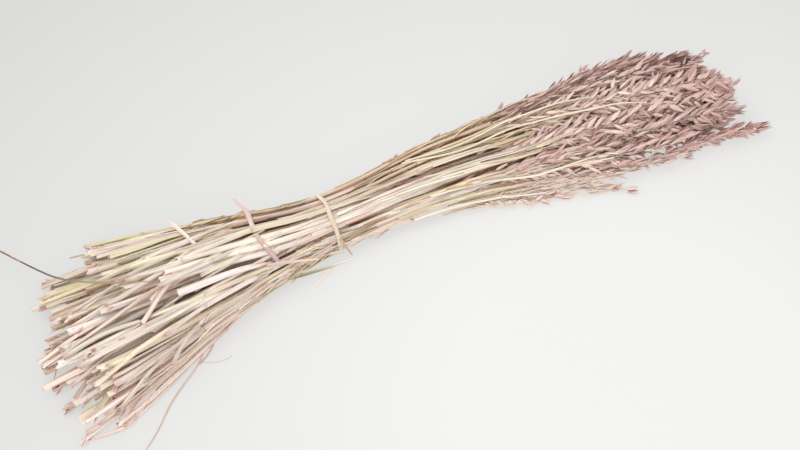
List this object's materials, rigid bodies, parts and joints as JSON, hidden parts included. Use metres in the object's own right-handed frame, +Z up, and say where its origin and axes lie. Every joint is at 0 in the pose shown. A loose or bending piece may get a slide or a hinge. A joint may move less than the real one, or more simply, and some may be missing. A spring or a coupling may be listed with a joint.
{
  "type": "bundle of dried oats",
  "caption": "Bunch of dried, pink-dyed oat stalks lying on its side, cut at the butt, tied at the waist with a flat band, with full nodding heads at the other end.",
  "frame": {"origin": "middle of the footprint of the lying bunch, on the surface it lies on", "axes": "+X along the stalks from the cut butts to the heads, +Z up from the surface, +Y to the side away from the usual viewer"},
  "size_m": [0.7004, 0.2446, 0.0557],
  "materials": {
    "dry_straw": "matte",
    "dyed_straw": "matte",
    "dry_leaf": "matte",
    "band": "matte"
  },
  "bodies": {
    "root": {"oat_stalk_01": "dry_straw", "oat_stalk_02": "dry_straw", "oat_stalk_03": "dyed_straw", "oat_stalk_04": "dry_straw", "oat_stalk_05": "dry_straw", "oat_stalk_06": "dyed_straw", "oat_stalk_07": "dry_straw", "oat_stalk_08": "dry_straw", "oat_stalk_09": "dyed_straw", "oat_stalk_10": "dry_straw", "oat_stalk_11": "dry_straw", "oat_stalk_12": "dyed_straw", "oat_stalk_13": "dry_straw", "oat_stalk_14": "dry_straw", "oat_stalk_15": "dyed_straw", "oat_stalk_16": "dry_straw", "oat_stalk_17": "dry_straw", "oat_stalk_18": "dyed_straw", "oat_stalk_19": "dry_straw", "oat_stalk_20": "dry_straw", "oat_stalk_21": "dyed_straw", "oat_stalk_22": "dry_straw", "oat_stalk_23": "dry_straw", "oat_stalk_24": "dyed_straw", "oat_stalk_25": "dry_straw", "oat_stalk_26": "dry_straw", "oat_stalk_27": "dyed_straw", "oat_stalk_28": "dry_straw", "oat_stalk_29": "dry_straw", "oat_stalk_30": "dyed_straw", "oat_stalk_31": "dry_straw", "oat_stalk_32": "dry_straw", "oat_stalk_33": "dyed_straw", "oat_stalk_34": "dry_straw", "oat_stalk_35": "dry_straw", "oat_stalk_36": "dyed_straw", "oat_stalk_37": "dry_straw", "oat_stalk_38": "dry_straw", "oat_stalk_39": "dyed_straw", "oat_stalk_40": "dry_straw", "oat_stalk_41": "dry_straw", "oat_stalk_42": "dyed_straw", "oat_stalk_43": "dry_straw", "oat_stalk_44": "dry_straw", "oat_stalk_45": "dyed_straw", "oat_stalk_46": "dry_straw", "oat_stalk_47": "dry_straw", "oat_stalk_48": "dyed_straw", "oat_stalk_49": "dry_straw", "oat_stalk_50": "dry_straw", "oat_stalk_51": "dyed_straw", "oat_stalk_52": "dry_straw", "oat_stalk_53": "dry_straw", "oat_stalk_54": "dyed_straw", "tie_band": "band", "loose_leaf_strap": "dry_leaf", "loose_leaf_front": "dry_leaf", "loose_leaf_floor": "dry_leaf", "loose_leaf_side": "dry_leaf"}
  },
  "joints": []
}
